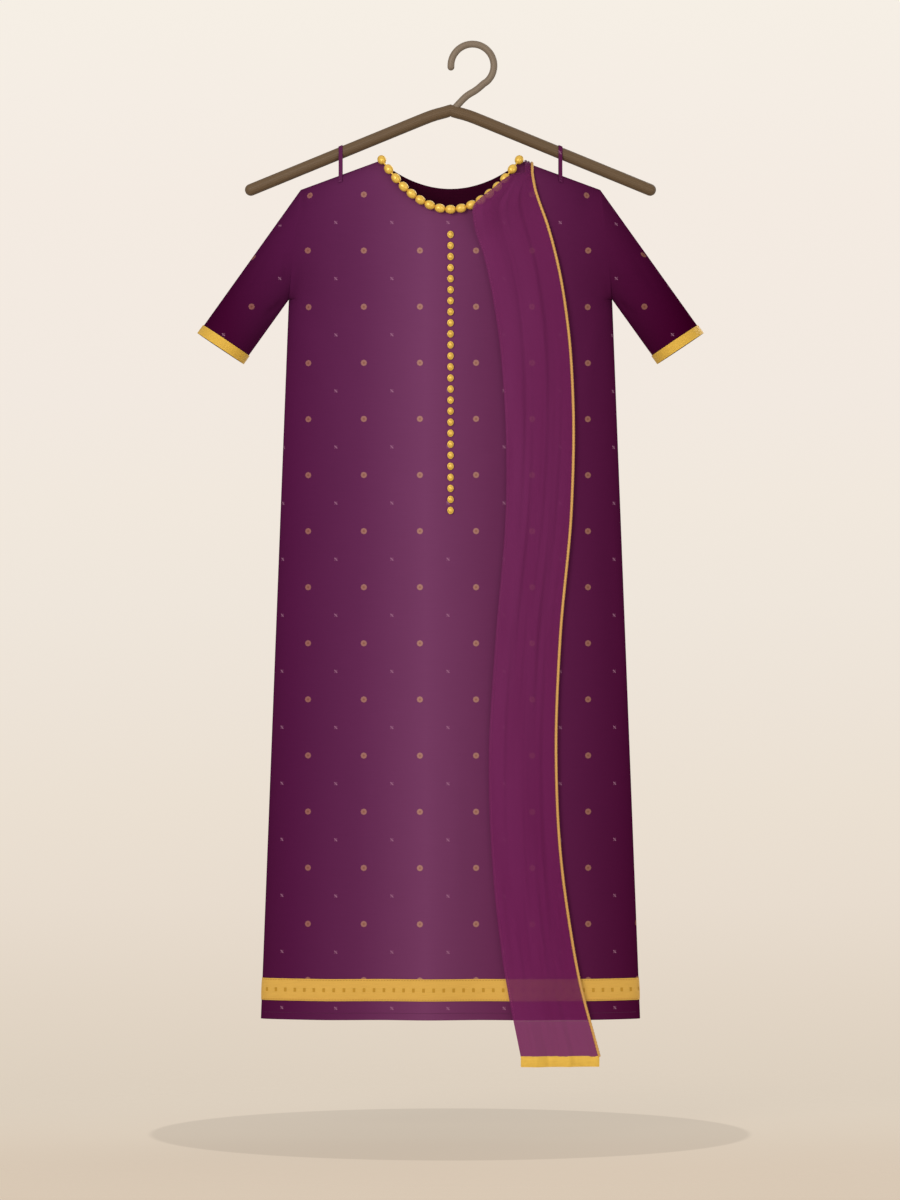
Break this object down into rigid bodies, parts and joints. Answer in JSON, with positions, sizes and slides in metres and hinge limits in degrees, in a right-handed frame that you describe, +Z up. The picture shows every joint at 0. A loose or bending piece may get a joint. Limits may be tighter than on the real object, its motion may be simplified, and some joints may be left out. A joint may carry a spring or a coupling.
{
  "type": "salwar kameez suit on a hanger, the kameez with its dupatta",
  "caption": "Long short-sleeved kameez with a bordered hem and beaded neckline, a sheer dupatta over one shoulder, on a wooden hanger.",
  "frame": {"origin": "the inner top of the hanger's hook, where a rail carries it", "axes": "+Z up, -Y to the front of the garment, +X to the viewer's right along the hanger"},
  "size_m": [0.66, 0.0966, 1.3339],
  "materials": {
    "plum_silk": "plum silk with a soft sheen and small woven gold dots",
    "gold_border": "woven gold border",
    "gold_bead": "satin gold beads",
    "sheer_dupatta": "sheer magenta plum chiffon",
    "gold_piping": "twisted gold cord",
    "hanger_wood": "stained wood, satin",
    "hook_metal": "bronze-grey painted rod"
  },
  "bodies": {
    "root": {"kameez_front": "plum_silk", "kameez_back": "plum_silk", "sleeve_left": "plum_silk", "sleeve_right": "plum_silk", "hanging_loop_left": "plum_silk", "hanging_loop_right": "plum_silk", "cuff_band_left": "gold_border", "cuff_band_right": "gold_border", "hem_band_front": "gold_border", "hem_band_back": "gold_border", "neck_beads": "gold_bead", "button_01": "gold_bead", "button_02": "gold_bead", "button_03": "gold_bead", "button_04": "gold_bead", "button_05": "gold_bead", "button_06": "gold_bead", "button_07": "gold_bead", "button_08": "gold_bead", "button_09": "gold_bead", "button_10": "gold_bead", "button_11": "gold_bead", "button_12": "gold_bead", "button_13": "gold_bead", "button_14": "gold_bead", "button_15": "gold_bead", "button_16": "gold_bead", "button_17": "gold_bead", "button_18": "gold_bead", "button_19": "gold_bead", "button_20": "gold_bead", "button_21": "gold_bead", "button_22": "gold_bead", "button_23": "gold_bead", "button_24": "gold_bead", "button_25": "gold_bead", "button_26": "gold_bead", "dupatta_front": "sheer_dupatta", "dupatta_shoulder": "sheer_dupatta", "dupatta_back": "sheer_dupatta", "dupatta_piping": "gold_piping", "dupatta_end_front": "gold_border", "dupatta_end_back": "gold_border", "hanger_arms": "hanger_wood", "hanger_hook": "hook_metal"}
  },
  "joints": []
}
